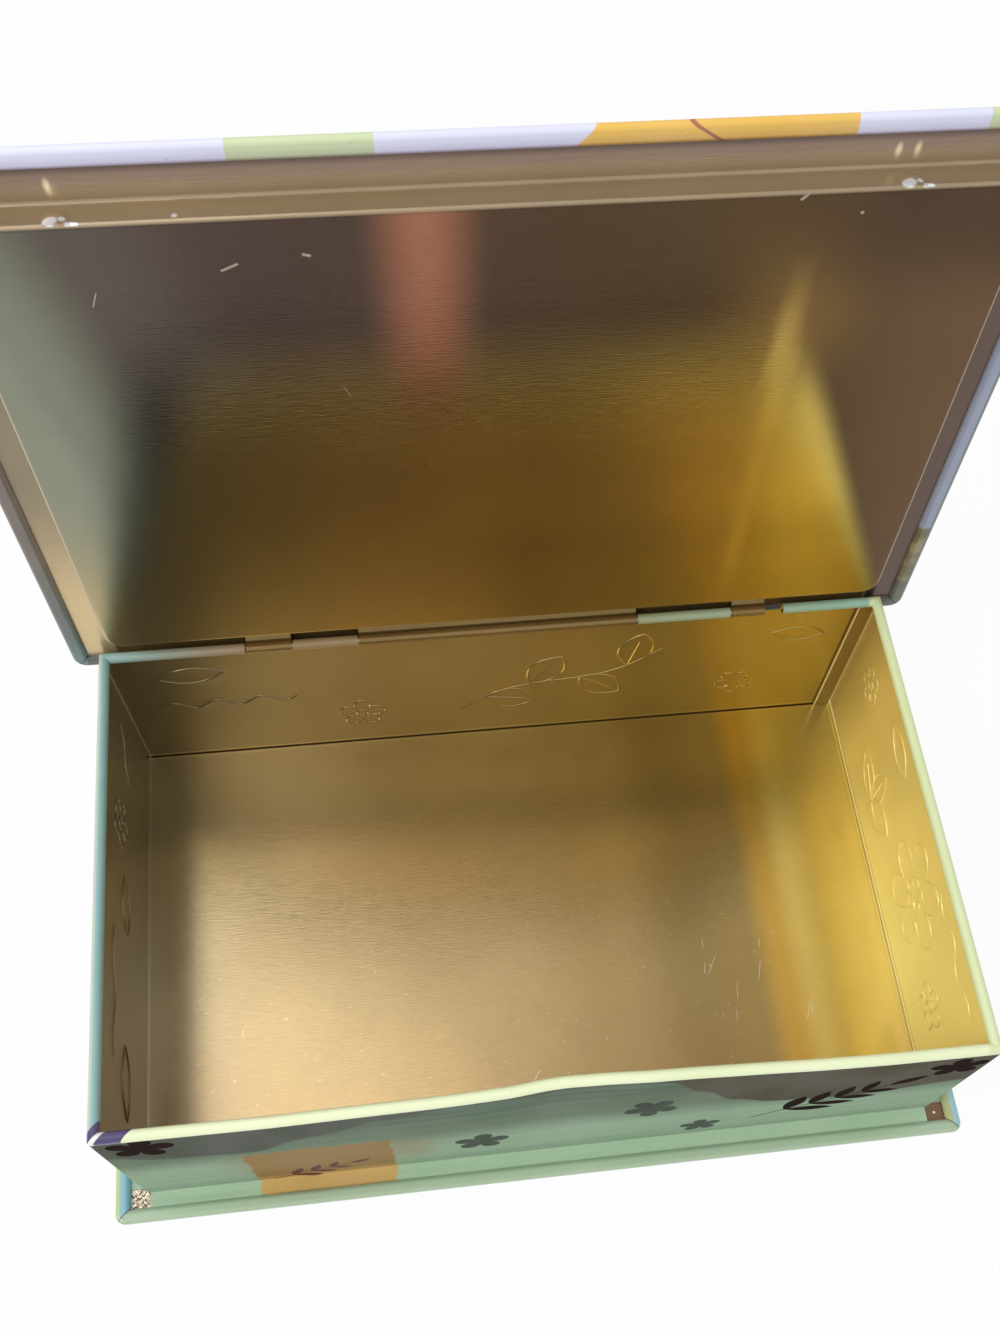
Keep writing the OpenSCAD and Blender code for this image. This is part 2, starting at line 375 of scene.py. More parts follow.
def add_ribs(skin, side, lines):
    """Fine embossed lines standing into the box from a wall."""
    reach = (HALF_D if side in (BACK, FRONT) else HALF_W) - SHEET
    for line in lines:
        step = np.gradient(line, axis=0)
        step = step / np.maximum(np.hypot(step[:, 0], step[:, 1]), 1e-9)[:, None]
        across = np.column_stack((-step[:, 1], step[:, 0]))
        flat = line[:, None, :] + across[:, None, :] * np.array(RIB_X)[None, :, None] * RIB_WIDTH
        along, up = flat[..., 0], flat[..., 1]
        out = reach + wall_push(side, along, up, lines) - np.array(RIB_Y)
        spots = out[..., None] * OUT[side] + along[..., None] * np.abs(ALONG[side])
        skin.sweep(np.dstack((spots, up)), [TIN] * len(RIB_X))


PRINT, TIN, THIRD, FOURTH = range(4)
BACK_PRINT, SIDE_PRINT, RIGHT_TIN, LEFT_TIN, SEAM = range(3, 8)


def wall_section():
    up = np.linspace(FLOOR_TOP, WALL_TOP, 48)
    outer = np.column_stack((np.zeros_like(up), up))
    inner = np.column_stack((np.full_like(up, -SHEET), up[::-1]))
    looks = [PRINT] * len(up) + [TIN] * len(up)
    return np.concatenate((outer, inner)), looks


def rim_section():
    outer = arc(-ROLL_R, AXIS_Z, ROLL_R, 0, 300, 44)
    inner = arc(-ROLL_R, AXIS_Z, ROLL_R - SHEET, 300, 0, 36)
    points = np.concatenate(([(0, WALL_TOP), (0, 49.7)], outer, inner, [(-SHEET, WALL_TOP)]))
    looks = [PRINT] + [THIRD] * 44 + [TIN] * (len(points) - 45)
    return points, looks


def flange_section(width):
    fillet = arc(0.5, 1.1, 0.5, 180, 270, 6)
    points = [(-0.1, 0.35), (-0.1, 1.1)] + fillet.tolist() + [(width, 0.6), (width, 0.35)]
    return np.array(points), [PRINT] * len(points)


def wall_path():
    return Path(HALF_W, HALF_D, CORNER_R)


def add_wall(skin, path, motifs):
    profile, looks = wall_section()
    points = pressed(path.sweep(profile), path, motifs)
    skin.sweep(dented(points), looks)


def add_rim(skin, path):
    profile, looks = rim_section()
    skin.sweep(dented(path.sweep(profile)), looks)


def add_flange(skin, side, width):
    path = Path(HALF_W, HALF_D, 0)
    half = path.halves[1 - side % 2] - 1.0
    profile, looks = flange_section(width)
    skin.sweep(path.straight(side, -half, half, 4).sweep(profile), looks)


def add_seam(skin):
    """The lock seam inside the back wall, at its right end."""
    corners = ((94.6, 57.75, 270), (94.6, 58.15, 0), (90.3, 58.15, 90), (90.3, 57.75, 180))
    section = np.concatenate([arc(x, y, 0.12, start, start + 90, 5) for x, y, start in corners])
    points = np.array([[(x, y, z) for x, y in section] for z in (0.4, 48.2)])
    skin.sweep(points, [SEAM] * len(section))


def make_front(materials):
    """The front wall with its rim, bent inwards at the middle."""
    skin = Skin()
    path = wall_path().corner(LEFT, 45, 90, 4).whole(FRONT).corner(FRONT, 0, 45, 4)
    add_wall(skin, path, {FRONT: []})
    add_rim(skin, path)
    return skin.make("front_wall", materials)


def looks_by_side(middles, looks):
    """Gives each side of the box its own print and its own tint of tin."""
    x, y = middles[:, 0], middles[:, 1]
    printed, bare = looks == PRINT, looks == TIN
    at_side = np.abs(y) < HALF_D
    looks = np.where(printed & (y > HALF_D - 0.2), BACK_PRINT, looks)
    looks = np.where(printed & (np.abs(x) > HALF_W - 0.25) & at_side, SIDE_PRINT, looks)
    inside = bare & (np.abs(y) < HALF_D - 0.5)
    looks = np.where(inside & (x > 94), RIGHT_TIN, looks)
    return np.where(inside & (x < -94), LEFT_TIN, looks)


def make_walls(materials):
    """The back and side walls with their rims, and all the foot flanges."""
    skin = Skin()
    path = wall_path().corner(FRONT, 45, 90, 4).whole(RIGHT).corner(RIGHT, 0, 90, 7)
    path.whole(BACK).corner(BACK, 0, 90, 7).whole(LEFT).corner(LEFT, 0, 45, 4)
    motifs = {RIGHT: right_lines(), BACK: back_lines(), LEFT: left_lines()}
    add_wall(skin, path, motifs)
    for side, lines in motifs.items():
        add_ribs(skin, side, lines)
    end = HALF_W - CORNER_R
    right = wall_path().corner(FRONT, 45, 90, 4).whole(RIGHT).corner(RIGHT, 0, 90, 7)
    add_rim(skin, right.straight(BACK, -end, -RIM_ENDS[1]))
    left = wall_path().straight(BACK, -RIM_ENDS[0], end).corner(BACK, 0, 90, 7)
    add_rim(skin, left.whole(LEFT).corner(LEFT, 0, 45, 4))
    for first, last in KNUCKLES:
        add_rim(skin, wall_path().straight(BACK, -last, -first))
    for side in (RIGHT, LEFT, FRONT):
        add_flange(skin, side, FLANGE)
    add_flange(skin, BACK, REAR_FLANGE)
    add_seam(skin)
    return skin.make("walls", materials, looks_by_side)


def plate(skin, xs, ys, top, bottom, looks, place):
    """A closed flat box with a shaped top."""
    x, y = np.meshgrid(xs, ys, indexing="ij")
    rows, columns = x.shape
    first = skin.grid(place(np.dstack((x, y, top(x, y)))), [looks[0]] * columns)
    second = skin.grid(place(np.dstack((x, y, bottom(x, y)))), [looks[1]] * columns)
    edge = [(i, 0) for i in range(rows)] + [(rows - 1, j) for j in range(1, columns)]
    edge += [(i, columns - 1) for i in range(rows - 2, -1, -1)]
    edge += [(0, j) for j in range(columns - 2, 0, -1)]
    for (i, j), (k, m) in zip(edge, edge[1:] + edge[:1]):
        a, b = i * columns + j, k * columns + m
        skin.face((first + a, first + b, second + b, second + a), looks[1])


class Cover:
    """A sheet whose four edges are rolled back, with mitred hems."""

    def __init__(self, size, middle, radius, height, hem, place, panel_look=0):
        self.half = (size[0] / 2, size[1] / 2)
        self.middle = middle
        self.radius = radius
        self.height = height
        self.hem = hem
        self.place = place
        self.panel_look = panel_look

    def path(self):
        return Path(*self.half, self.radius, self.middle)

    def add_edges(self, skin):
        """The rolled edge all round and the hems."""
        b = self.height / 2
        inner = arc(-b, b, b - SHEET, -90, 90, 14)
        outer = arc(-b, b, b, 90, -90, 24)
        profile = np.concatenate(([(-COVER_EDGE, SHEET)], inner, outer, [(-COVER_EDGE, 0)]))
        looks = [TIN] * 15 + [PRINT] * (len(profile) - 15)
        path = self.path()
        for side in range(4):
            path.whole(side, 4).corner(side, 0, 90, 9)
        skin.sweep(self.place(path.sweep(profile)), looks, True)
        for side in range(4):
            self.add_hem(skin, side)

    def add_hem(self, skin, side, gap=0.06):
        width = REAR_HEM if side == BACK else self.hem
        bend, lip = self.height / 2, self.height - 2 * SHEET
        outer = arc(lip - width, 2 * SHEET, lip, 90, 180, 14)
        inner = arc(lip - width, 2 * SHEET, lip - SHEET, 180, 90, 14)
        start, end = (-bend, self.height), (-bend, self.height - SHEET)
        profile = np.concatenate(([start], outer, inner, [end]))
        looks = [PRINT] * 14 + [TIN] * (len(profile) - 14)
        path = self.path().corner((side - 1) % 4, 45, 90, 5, gap).whole(side, 2, gap)
        skin.sweep(self.place(path.corner(side, 0, 45, 5, gap).sweep(profile)), looks)

    def add_panel(self, skin, step, top, bottom):
        x, y = self.half[0] - COVER_EDGE, self.half[1] - COVER_EDGE
        xs = np.linspace(-x, x, round(2 * x / step)) + self.middle[0]
        ys = np.linspace(-y, y, round(2 * y / step)) + self.middle[1]
        plate(skin, xs, ys, top, bottom, (TIN, self.panel_look), self.place)


def panel_edge(x, y, cover):
    """Is 0 at a cover's panel edge and 1 away from it."""
    across = cover.half[0] - COVER_EDGE - np.abs(x - cover.middle[0])
    along = cover.half[1] - COVER_EDGE - np.abs(y - cover.middle[1])
    return smooth(np.minimum(across, along), 0, 12)


def crumpled(x, y):
    rough = np.sin(x * 5.1 + 2 * np.sin(y * 3.7)) * np.sin(y * 4.3 + 1.5 * np.sin(x * 2.9))
    return 0.46 + 0.1 * rough + 0.05 * np.sin(x * 11 + y * 7)


def level(height):
    return lambda x, y: 0 * x + height


def make_base(materials):
    """The base sheet with its hems and the bare patches at its corners."""
    skin = Skin()
    cover = Cover((203.79, 127.19), (0, -1.8), 2.5, 2.0, 3.4, np.array)
    cover.add_edges(skin)

    def top(x, y):
        swell = 0.07 + waves(x * 0.6, y * 0.6, 2)
        return SHEET + 0.5 * panel_edge(x, y, cover) * swell

    cover.add_panel(skin, 1.5, top, level(0))
    xs, ys = np.linspace(-98.45, -94.05, 30), np.linspace(-61.95, -57.6, 30)
    plate(skin, xs, ys, crumpled, level(0.31), (THIRD, THIRD), np.array)
    plate(skin, -xs[::-1], ys, level(0.4), level(0.31), (FOURTH, FOURTH), np.array)
    return skin.make("base_sheet", materials)


def lid_lines():
    lines = vine_lines(-78, -40, 60, 30, 6, 8, 14) + vine_lines(70, -46, -48, 44, 6, 8, 13)
    lines += bloom(-50, 22, 12, 0.3, 3) + bloom(24, 26, 9, 0.8, 2.4)
    return lines + bloom(72, 24, 11, 0.1, 2.8) + bloom(-6, -34, 8, 0.5, 2.2)


def make_lid(materials):
    """The lid's printed sheet with its hems, open."""

    def place(points):
        shut = points.copy()
        shut[..., 2] = LID_TOP - points[..., 2]
        return opened(shut)

    skin = Skin()
    cover = Cover((202.99, 126.79), (0, -1.6), 3.0, 1.8, 3.6, place, THIRD)
    cover.add_edges(skin)
    lines = lid_lines()

    def bottom(x, y):
        lift = raised(lines, x, y, 0.18, 0.8)
        return (0.2 - lift + 0.1 * waves(x, y, 5)) * panel_edge(x, y, cover)

    cover.add_panel(skin, 1.0, level(SHEET), bottom)
    return skin.make("lid_sheet", materials)


def rgb(*parts):
    """The linear colour for 8-bit red, green and blue."""
    shares = [part / 255 for part in parts]
    linear = [v / 12.92 if v <= 0.04045 else ((v + 0.055) / 1.055) ** 2.4 for v in shares]
    return (*linear, 1.0)


class Nodes:
    """Adds nodes to a material or to the world."""

    def __init__(self, owner):
        owner.use_nodes = True
        self.tree = owner.node_tree

    def feed(self, socket, value):
        if isinstance(value, bpy.types.NodeSocket):
            self.tree.links.new(value, socket)
        else:
            socket.default_value = value

    def node(self, kind, *values, **settings):
        """A new node with its settings and its first inputs."""
        node = self.tree.nodes.new("ShaderNode" + kind)
        for name, setting in settings.items():
            setattr(node, name, setting)
        for socket, value in zip(node.inputs, values):
            self.feed(socket, value)
        return node

    def maths(self, operation, *values):
        return self.node("Math", *values, operation=operation).outputs[0]

    plus = partialmethod(maths, "ADD")
    less = partialmethod(maths, "SUBTRACT")
    times = partialmethod(maths, "MULTIPLY")
    scaled = partialmethod(maths, "MULTIPLY_ADD")
    absolute = partialmethod(maths, "ABSOLUTE")
    larger = partialmethod(maths, "MAXIMUM")

    def vector(self, operation, *values):
        node = self.node("VectorMath", *values, operation=operation)
        return node.outputs["Value" if operation in ("LENGTH", "DOT_PRODUCT") else "Vector"]


class Paint(Nodes):
    """One material, in millimetres; its shapes are masks from 0 to 1."""

    def __init__(self, name):
        self.material = bpy.data.materials.new(name)
        super().__init__(self.material)
        self.shader = self.tree.nodes["Principled BSDF"]
        place = self.node("TexCoord").outputs["Object"]
        enlarged = self.node("VectorMath", place, operation="SCALE")
        enlarged.inputs["Scale"].default_value = 1 / MM
        self.spot = enlarged.outputs[0]
        self.x, self.y, self.z = self.node("SeparateXYZ", self.spot).outputs

    def put(self, **values):
        """Feeds inputs of the shader; low lines stand for gaps in their names."""
        for name, value in values.items():
            self.feed(self.shader.inputs[name.replace("_", " ")], value)

    def join(self, x, y, z=0.0):
        return self.node("CombineXYZ", x, y, z).outputs[0]

    def away(self, place, x, z):
        return self.vector("SUBTRACT", place, (x, z, 0))

    def fade(self, value, low, high):
        """Goes smoothly from 0 at low to 1 at high."""
        ends = sorted((low, high))
        share = self.node("MapRange", value, *ends, interpolation_type="SMOOTHSTEP").outputs[0]
        return share if low < high else self.less(1.0, share)

    def band(self, value, low, high, soft):
        """Is 1 between low and high, with soft ends."""
        start = self.fade(value, low - soft, low + soft)
        return self.times(start, self.fade(value, high + soft, high - soft))

    def both(self, *masks):
        return reduce(self.times, masks)

    def either(self, *masks):
        return reduce(self.larger, masks)

    def mix(self, share, low, high, blend="MIX"):
        """Goes from colour to colour; a tuple is 8-bit red, green and blue."""
        node = self.node("Mix", share, data_type="RGBA", blend_type=blend)
        for socket, value in zip(node.inputs[6:8], (low, high)):
            self.feed(socket, rgb(*value) if isinstance(value, tuple) else value)
        return node.outputs[2]

    def layers(self, colour, *rows):
        """Lays tints over a colour; a row has a mask, a tint and perhaps a share."""
        for mask, tint, *share in rows:
            if share:
                mask = self.times(mask, *share)
            colour = self.mix(mask, colour, tint)
        return colour

    def ramp(self, value, stops, curve="EASE"):
        """Linear colours at places along a value."""
        low, high = stops[0][0], stops[-1][0]
        share = self.maths("DIVIDE", self.less(value, low), high - low)
        node = self.node("ValToRGB", share)
        node.color_ramp.interpolation = curve
        marks = node.color_ramp.elements
        while len(marks) < len(stops):
            marks.new(0.5)
        for mark, (place, colour) in zip(marks, stops):
            mark.position = (place - low) / (high - low)
            mark.color = colour
        return node.outputs[0]

    def shades(self, value, *stops, curve="EASE"):
        """A ramp whose stops have a place and 8-bit red, green and blue."""
        return self.ramp(value, [(place, rgb(*tint)) for place, *tint in stops], curve)

    def noise(self, stretch, detail, scale=1.0):
        """Noise that is stretched alike all ways or by a factor for each axis."""
        place = self.vector("MULTIPLY", self.spot, np.ones(3) * stretch)
        node = self.node("TexNoise", place)
        node.inputs["Scale"].default_value = scale
        node.inputs["Detail"].default_value = detail
        return node.outputs[0]

    def shut(self):
        """Depth and height that a place on the open lid has when it is shut."""
        turn = math.radians(OPEN_ANGLE)
        y, z = self.less(self.y, AXIS_Y), self.less(self.z, AXIS_Z)
        depth = self.scaled(y, math.cos(turn), AXIS_Y)
        height = self.scaled(y, math.sin(turn), AXIS_Z)
        return self.scaled(z, -math.sin(turn), depth), self.scaled(z, math.cos(turn), height)

    def bump(self, height, strength):
        node = self.node("Bump", strength, BUMP_HEIGHT * MM)
        self.feed(node.inputs["Height"], height)
        self.put(Normal=node.outputs[0])

    def flower(self, place, x, z, size, turn):
        """A flower with round petals."""
        away = self.away(place, x, z)
        across, up, _ = self.node("SeparateXYZ", away).outputs
        angle = self.plus(self.maths("ARCTAN2", up, across), turn)
        wave = self.absolute(self.maths("SINE", self.times(angle, 2.5)))
        reach = self.scaled(self.maths("POWER", wave, 0.6), 0.62 * size, 0.38 * size)
        return self.fade(self.less(reach, self.vector("LENGTH", away)), -0.08, 0.08)

    def leaf(self, place, x, z, length, turn, width):
        """A pointed leaf."""
        away = self.away(place, x, z)
        cos, sin = math.cos(turn), math.sin(turn)
        along = self.vector("DOT_PRODUCT", away, (cos, sin, 0))
        across = self.vector("DOT_PRODUCT", away, (-sin, cos, 0))
        share = self.maths("DIVIDE", along, length)
        reach = self.times(self.times(share, self.less(1.0, share)), 4 * width * length)
        return self.fade(self.less(reach, self.absolute(across)), -0.08, 0.08)

    def oval(self, place, x, z, wide, high, core):
        """An oval that is full inside its core and fades towards its edge."""
        away = self.vector("DIVIDE", self.away(place, x, z), (wide, high, 1))
        return self.fade(self.vector("LENGTH", away), 1, core)

    def many(self, shape, place, rows):
        """Several shapes of one kind."""
        return self.either(*(shape(place, *row) for row in rows))

    def stroke(self, place, start, end, width):
        """A thin straight stroke."""
        way = np.subtract(end, start)
        length = float(np.hypot(*way))
        along = (*(way / length), 0)
        across = (-along[1], along[0], 0)
        away = self.away(place, *start)
        inside = self.band(self.vector("DOT_PRODUCT", away, along), 0, length, 0.1)
        beside = self.absolute(self.vector("DOT_PRODUCT", away, across))
        return self.times(inside, self.fade(beside, width, 0.4 * width))


def scratches(mat, count, seed, low, high, up):
    """Short bright scratches scattered over a face, as a mask."""
    rng = np.random.default_rng(seed)
    place = mat.join(mat.x, up)
    masks = []
    for _ in range(count):
        start = rng.uniform(low, high)
        turn, length = rng.uniform(1, 1.5), rng.uniform(1.5, 6)
        end = start + length * np.array((math.cos(turn), math.sin(turn)))
        masks.append(mat.stroke(place, tuple(start), tuple(end), rng.uniform(0.08, 0.15)))
    return mat.either(*masks)


def brushed(mat, strength):
    """Fine grain of rolled tinplate, as bump and a factor near one."""
    grain = mat.noise((0.25, 6, 6), 3)
    cloud = mat.noise(0.03, 4)
    both = mat.plus(mat.times(grain, 0.4), mat.times(cloud, 0.6))
    mat.bump(both, strength)
    return mat.scaled(both, 0.5, 0.75)


def finish_tin(mat, colour, metallic, rough, strength=0.25):
    factor = brushed(mat, strength)
    shade = mat.join(factor, factor, factor)
    colour = mat.mix(1, colour, shade, "MULTIPLY")
    mat.put(Base_Color=colour, Metallic=metallic, Roughness=rough)
    return mat.material


def foot(mat, colour, line=(100, 80, 42)):
    """Paints the fold at the foot of the walls: a line in the line colour, painted shade by default,
    with a thin painted highlight over it.
    """
    # light is a thin painted highlight band above the fold; dark is where the line colour is painted
    # into the fold
    light, dark = mat.band(mat.z, 1.1, 1.7, 0.2), mat.fade(mat.z, 1.05, 0.8)
    return mat.layers(colour, (light, (250, 232, 180), 0.35), (dark, line))


def tin_back(mat):
    """Bare inner face of the back wall, tinted with painted reflections that are darker at the left.
    """
    colour = mat.shades(
        mat.x, (-95, 124, 118, 94), (-74, 150, 136, 100), (-20, 178, 156, 106),
        (60, 194, 170, 94), (95, 190, 168, 92),
    )
    # painted contact shadow on the back wall beside the lock seam
    seam_contact_shadow = mat.both(mat.band(mat.x, 89.6, 90.2, 0.15), mat.fade(mat.y, 57, 57.6))
    colour = mat.mix(seam_contact_shadow, colour, (96, 72, 34))
    # foot adds painted shade in the fold and a painted highlight over it
    return finish_tin(mat, foot(mat, colour), 0.8, 0.26)


def tin_seam(mat):
    """The folded lock seam, dull, with painted highlights along its edges."""
    # edges marks the seam's two edges, where highlights are painted
    edges = mat.either(mat.band(mat.x, 90.2, 90.55, 0.1), mat.band(mat.x, 94.2, 94.7, 0.12))
    return finish_tin(mat, mat.mix(edges, (160, 138, 82), (255, 244, 200)), 0.6, 0.3)


def tin_right(mat):
    """Bare inner face of the right wall, bright gold and darker towards the back as painted light,
    with a painted highlight and painted shade at the fold at its foot.
    """
    colour = mat.layers(
        # gold tints along Y stand in for how light falls: brightest at the front, darker at the back
        mat.shades(
            mat.y, (-58, 255, 238, 144), (0, 255, 236, 140), (34, 240, 214, 122), (58, 186, 158, 86)
        ),
        # a painted highlight along the fold at the foot, a painted shade line above it and painted
        # shade below it
        (mat.band(mat.z, 0.95, 2, 0.15), (255, 248, 180)),
        (mat.band(mat.z, 2.15, 2.5, 0.12), (176, 140, 66)),
        (mat.fade(mat.z, 0.9, 0.75), (186, 148, 70)),
    )
    return finish_tin(mat, colour, 0.2, 0.3)


def tin_left(mat):
    """Bare inner face of the left wall, grey brown, with a painted highlight along the fold at its
    foot.
    """
    colour = mat.shades(mat.y, (-58, 128, 120, 100), (0, 140, 134, 116), (58, 142, 138, 122))
    # the light line colour given to foot is a painted highlight along the fold
    return finish_tin(mat, foot(mat, colour, (196, 188, 164)), 0.8, 0.26)


def tin_floor(mat):
    """Bare floor of the box, tinted with painted reflections: a light patch at the left and gold at
    the right.
    """
    # across and deep are painted reflection tints: light at the left, darker right of the middle, gold
    # where the bright right wall is mirrored
    across = mat.shades(
        mat.x, (-95, 218, 204, 172), (-60, 228, 206, 164), (-10, 220, 198, 152),
        (24, 206, 182, 132), (44, 180, 158, 108), (58, 190, 166, 110),
        (66, 236, 194, 96), (74, 255, 230, 134), (95, 255, 244, 178),
    )
    deep = mat.shades(mat.y, (-58, 232, 220, 204), (0, 240, 234, 220), (58, 222, 218, 190))
    # light marks a painted patch of reflected light at the rear left
    light = mat.both(mat.band(mat.x, -82, -48, 26), mat.fade(mat.y, -4, 26))
    marks = mat.either(
        scratches(mat, 8, 4, (30, -54), (74, -10), mat.y),
        scratches(mat, 4, 9, (-80, -50), (80, 50), mat.y),
    )
    dust = mat.fade(mat.noise(1, 1, 0.9), 0.72, 0.78)
    colour = mat.layers(
        mat.mix(1, across, deep, "MULTIPLY"),
        (light, (255, 228, 176)),
        (mat.either(mat.times(marks, 0.45), mat.times(dust, 0.2)), (255, 250, 236)),
        # painted shade along the folds at the front and back walls, and a painted highlight along the
        # fold at the left wall
        (mat.fade(mat.absolute(mat.y), 57.7, 58.1), (112, 90, 50)),
        (mat.fade(mat.x, -94.2, -94.6), (196, 188, 164)),
    )
    return finish_tin(mat, colour, 0.85, 0.2)


def lid_panel(mat, depth):
    """The panel's tints, painted reflections: dark round a gold mirrored zone with a slanting bright
    edge.
    """
    x = mat.x
    # outer is the dark painted reflection round the panel; inner is the mirrored gold inside of the
    # box, which low darkens towards the hinge as painted shade
    outer = mat.shades(
        mat.less(mat.scaled(depth, -0.25, x), 8),
        (-91, 140, 142, 124), (-84, 128, 132, 114), (-66, 94, 86, 78), (-40, 82, 67, 60),
        (20, 84, 66, 48), (50, 90, 71, 46), (91, 108, 84, 60),
    )
    inner = mat.shades(
        x, (-91, 150, 140, 108), (-50, 176, 153, 96), (-28, 188, 160, 96),
        (0, 206, 176, 100), (40, 248, 218, 118), (91, 246, 216, 114),
    )
    low = mat.shades(
        depth, (-30, 222, 222, 222), (-8, 234, 234, 234), (10, 238, 238, 238),
        (29, 206, 206, 206), (47, 190, 190, 190),
    )
    inner = mat.mix(mat.fade(x, -30, 14), inner, low, "MULTIPLY")
    # right and left bound the mirrored gold zone; line is its painted bright edge
    right = mat.less(mat.scaled(depth, 0.44, 66.2), x)
    left = mat.plus(mat.scaled(depth, 0.4, 73.1), x)
    # a painted pale reflection low at the left
    low_left_reflection = mat.both(mat.fade(x, -76, -88), mat.fade(depth, 0, 46))
    golden_reflection = mat.both(mat.fade(right, -5, 3), mat.fade(left, 0, 12), mat.fade(depth, -36, -2))
    line = mat.both(mat.band(right, -0.6, 0.6, 2), mat.fade(depth, -30, 10))
    # a painted streak of reflected gold light
    wave = mat.noise((0.3, 0.05, 0.05), 2)
    reflected_streak = mat.band(mat.scaled(wave, 4, x), 53.4, 55.2, 3.2)
    reflected_streak = mat.both(reflected_streak, mat.fade(depth, -46, -18), mat.fade(depth, 52, 24))
    # glow is a painted warm reflection; the next two are painted shade at the top right and a painted
    # reddish reflection
    glow = mat.both(mat.band(x, 46, 60, 12), mat.band(depth, -40, -22, 16))
    top_right_shade = mat.both(mat.fade(x, 40, 70), mat.fade(depth, -26, -50))
    red = mat.both(mat.band(x, -20, -8, 6), mat.fade(depth, -2, -28))
    place = mat.join(x, depth)
    strokes = (
        ((-47.6, -46), (-44.6, -47.2), 0.3), ((-34, -48.4), (-32.6, -48), 0.35),
        ((49, -54), (51.5, -56), 0.35), ((60, -51.2), (60.6, -51.2), 0.35),
        ((-30, -21), (-28.8, -18.4), 0.2),
    )
    marks = mat.many(mat.stroke, place, strokes)
    marks = mat.larger(marks, scratches(mat, 5, 3, (-70, 60), (70, 150), mat.z))
    return mat.layers(
        outer,
        (low_left_reflection, (206, 184, 136), 0.7),
        (golden_reflection, inner),
        (line, (244, 228, 136), 0.2),
        (reflected_streak, (255, 224, 124), 0.9),
        (glow, (196, 150, 78), 0.4),
        (top_right_shade, (72, 56, 44), 0.7),
        (red, (176, 116, 90), 0.75),
        (marks, (230, 226, 206), 0.4),
    )


def pip_glints(mat, height):
    """Painted highlights on the plug's wall at its two pips and between them."""
    spots = []
    for x in (-71.5, 68.5):
        spots += [(x - 1, 48.3, 1.5, 1.1, 0.6), (x + 0.9, 48.6, 0.7, 0.6, 0.6)]
        spots.append((x + 2.3, 47.7, 1.3, 0.6, 0.6))
    spots.append((-53.2, 48.6, 0.7, 0.7, 0.3))
    return mat.many(mat.oval, mat.join(mat.x, height), spots)


def lid_band(mat, depth, height):
    """The flange round the plug and the plug's wall, tinted as painted reflections, with painted
    highlights and painted light in the hinge gap.
    """
    # front and side are painted reflection tints of the flange bands, front darker next to the hem as
    # painted shade
    front = mat.shades(
        depth,
        (-61.2, 110, 92, 84), (-59.6, 150, 128, 112), (-57.2, 184, 166, 138), (-55, 176, 156, 126),
    )
    side = mat.shades(depth, (-50, 122, 118, 104), (0, 146, 134, 112), (50, 222, 198, 152))
    side = mat.mix(mat.fade(mat.x, 60, 80), side, (104, 86, 76))
    out = mat.absolute(mat.x)
    beside = mat.both(mat.fade(out, 91.2, 91.8), mat.fade(depth, -56, -55))
    # painted highlight lines along the creases at the plug's sides
    crease = mat.absolute(mat.less(out, 91))
    lines = mat.both(mat.fade(crease, 0.5, 0.15), mat.fade(depth, -54, -52))
    # painted highlights at the pips
    glints = mat.both(pip_glints(mat, height), mat.fade(depth, -54.9, -55.2))
    # painted streaks of the pips' reflections in the flange in front of them
    rows = [(x, -58.2, 0.9, 2, 0) for x in (-72.3, 66, 69.3)]
    pip_reflections = mat.many(mat.oval, mat.join(mat.x, depth), rows)
    # painted light in the dark gap behind the hinge knuckles, then a painted reflection tint on the
    # knuckles
    hinge = mat.shades(
        depth, (49.6, 224, 200, 150), (54, 224, 200, 150), (55.2, 150, 124, 76), (60, 150, 124, 76)
    )
    return mat.layers(
        front,
        (beside, side),
        (lines, (255, 240, 210), 0.8),
        (glints, (255, 255, 255)),
        (pip_reflections, (255, 240, 200)),
        (mat.both(mat.fade(depth, 49.6, 50.1), mat.fade(out, 91.5, 90.8)), hinge),
    )


def tin_lid(mat):
    """Bare inner pan of the lid, with painted reflections and highlights."""
    depth, height = mat.shut()
    band = mat.either(
        mat.fade(depth, -54.6, -55.1),
        mat.fade(mat.absolute(mat.x), 90.3, 90.7),
        mat.fade(depth, 49.6, 50.1),
    )
    colour = mat.mix(band, lid_panel(mat, depth), lid_band(mat, depth, height))
    return finish_tin(mat, colour, mat.scaled(band, -0.3, 0.9), mat.scaled(band, 0.06, 0.2))


def tin_crumpled(mat):
    """The bare patch at the base's front left corner."""
    spots = mat.fade(mat.noise(1, 3, 1.6), 0.4, 0.6)
    return finish_tin(mat, mat.mix(spots, (120, 104, 84), (240, 224, 200)), 0.6, 0.4, 0.6)


def tin_brown(mat):
    """The brown patch at the base's front right corner, with a light dot."""
    away = mat.vector("LENGTH", mat.away(mat.join(mat.x, mat.y), 96.2, -60))
    dot = mat.fade(away, 0.4, 0.2)
    return finish_tin(mat, mat.mix(dot, (128, 96, 70), (250, 246, 240)), 0.3, 0.4, 0.2)


def finish_print(mat, colour, rough=0.28, coat=0.3, shine=0.4, ink=None):
    """Printed tin with slight clouds and specks, and perhaps dark ink over them."""
    cloud = mat.noise(0.06, 3)
    speck = mat.fade(mat.noise(1, 1, 1.3), 0.76, 0.8)
    colour = mat.layers(colour, (cloud, (255, 255, 255), 0.12), (speck, (60, 60, 60), 0.25))
    if ink is not None:
        colour = mat.mix(ink, colour, (48, 38, 36))
    mat.put(Base_Color=colour, Roughness=rough, Specular_IOR_Level=shine)
    mat.put(Coat_Weight=coat, Coat_Roughness=0.12)
    mat.bump(mat.noise(0.15, 3), 0.12)
    return mat.material


